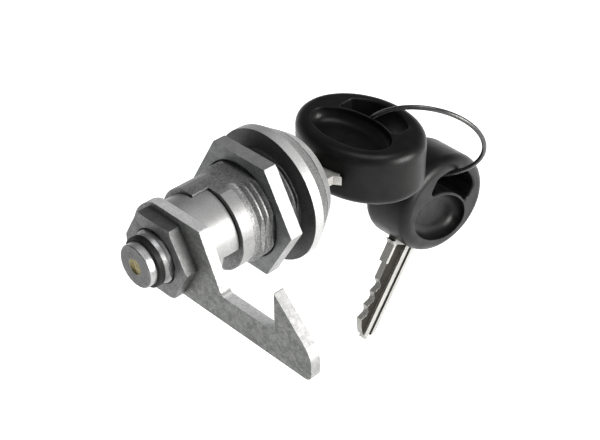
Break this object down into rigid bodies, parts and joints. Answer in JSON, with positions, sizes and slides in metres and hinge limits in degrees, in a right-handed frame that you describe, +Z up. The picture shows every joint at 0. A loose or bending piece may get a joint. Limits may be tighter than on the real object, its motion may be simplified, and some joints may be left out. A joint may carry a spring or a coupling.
{
  "type": "cam lock",
  "caption": "Cam lock with a threaded barrel, hook cam, hexagon nuts and two plastic-headed keys joined by a wire ring.",
  "frame": {"origin": "centre of the flange's rear face, on the lock's axis, where the lock passes through the panel", "axes": "+Y along the lock's axis from the key side to the cam side, +Z up, the cam's arm points to -X at rest"},
  "size_m": [0.0584, 0.1004, 0.0731],
  "materials": {
    "plated_zinc": "nickel-plated die casting, satin",
    "bright_trim": "bright plated",
    "nut_steel": "plated, slightly worn",
    "plug_metal": "satin",
    "seal_rubber": "matt",
    "wafer_brass": "stamped",
    "spring_steel": "drawn wire",
    "satin_sleeve": "satin",
    "galvanised_sheet": "zinc-plated sheet with a mottled surface",
    "black_washer": "black, satin",
    "bolt_steel": "bright turned end with a brass-toned centre",
    "key_nickel": "nickel-plated",
    "black_plastic": "fine-textured moulding",
    "ring_wire": "polished wire"
  },
  "bodies": {
    "housing": {"housing": "plated_zinc", "face_ring": "bright_trim", "panel_nut": "nut_steel"},
    "plug": {"plug": "plug_metal", "plug_seal": "seal_rubber", "rotor": "satin_sleeve", "hook_cam": "galvanised_sheet", "cam_nut": "nut_steel", "end_washer": "black_washer", "tie_bolt": "bolt_steel", "wafer_spring_1": "spring_steel", "wafer_spring_2": "spring_steel", "wafer_spring_3": "spring_steel", "wafer_spring_4": "spring_steel", "wafer_spring_5": "spring_steel", "wafer_spring_6": "spring_steel"},
    "wafer_1": {"wafer_1": "wafer_brass"},
    "wafer_2": {"wafer_2": "wafer_brass"},
    "wafer_3": {"wafer_3": "wafer_brass"},
    "wafer_4": {"wafer_4": "wafer_brass"},
    "wafer_5": {"wafer_5": "wafer_brass"},
    "wafer_6": {"wafer_6": "wafer_brass"},
    "key_1": {"key_blade_1": "key_nickel", "key_bow_1": "black_plastic"},
    "ring": {"key_ring": "ring_wire"},
    "key_2": {"key_blade_2": "key_nickel", "key_bow_2": "black_plastic"}
  },
  "joints": [
    {"name": "plug_turn", "type": "hinge", "parent": "housing", "child": "plug", "pos_m": [0, 0, 0], "axis": [0, 1, 0], "range_deg": [-90, 0]},
    {"name": "key_pull", "type": "slide", "parent": "plug", "child": "key_1", "axis": [0, -1, 0], "range_m": [0, 0.024]},
    {"name": "wafer_1_slide", "type": "slide", "parent": "plug", "child": "wafer_1", "axis": [1, 0, 0], "range_m": [0, 0.001]},
    {"name": "wafer_2_slide", "type": "slide", "parent": "plug", "child": "wafer_2", "axis": [1, 0, 0], "range_m": [0, 0.001]},
    {"name": "wafer_3_slide", "type": "slide", "parent": "plug", "child": "wafer_3", "axis": [1, 0, 0], "range_m": [0, 0.001]},
    {"name": "wafer_4_slide", "type": "slide", "parent": "plug", "child": "wafer_4", "axis": [1, 0, 0], "range_m": [0, 0.001]},
    {"name": "wafer_5_slide", "type": "slide", "parent": "plug", "child": "wafer_5", "axis": [1, 0, 0], "range_m": [0, 0.001]},
    {"name": "wafer_6_slide", "type": "slide", "parent": "plug", "child": "wafer_6", "axis": [1, 0, 0], "range_m": [0, 0.001]},
    {"name": "ring_turn", "type": "hinge", "parent": "key_1", "child": "ring", "pos_m": [-0.00672, -0.04338, -0.00328], "axis": [0.525, -0.7391, 0.422], "range_deg": [-20, 0]},
    {"name": "key_2_swing", "type": "hinge", "parent": "ring", "child": "key_2", "pos_m": [-0.00672, -0.04338, -0.00328], "axis": [0.525, -0.7391, 0.422], "range_deg": [-25, 0]}
  ],
  "couplings": [
    {"joint": "wafer_1_slide", "follows": "key_pull", "ratio": 0.041667},
    {"joint": "wafer_2_slide", "follows": "key_pull", "ratio": 0.041667},
    {"joint": "wafer_3_slide", "follows": "key_pull", "ratio": 0.041667},
    {"joint": "wafer_4_slide", "follows": "key_pull", "ratio": 0.041667},
    {"joint": "wafer_5_slide", "follows": "key_pull", "ratio": 0.041667},
    {"joint": "wafer_6_slide", "follows": "key_pull", "ratio": 0.041667}
  ]
}
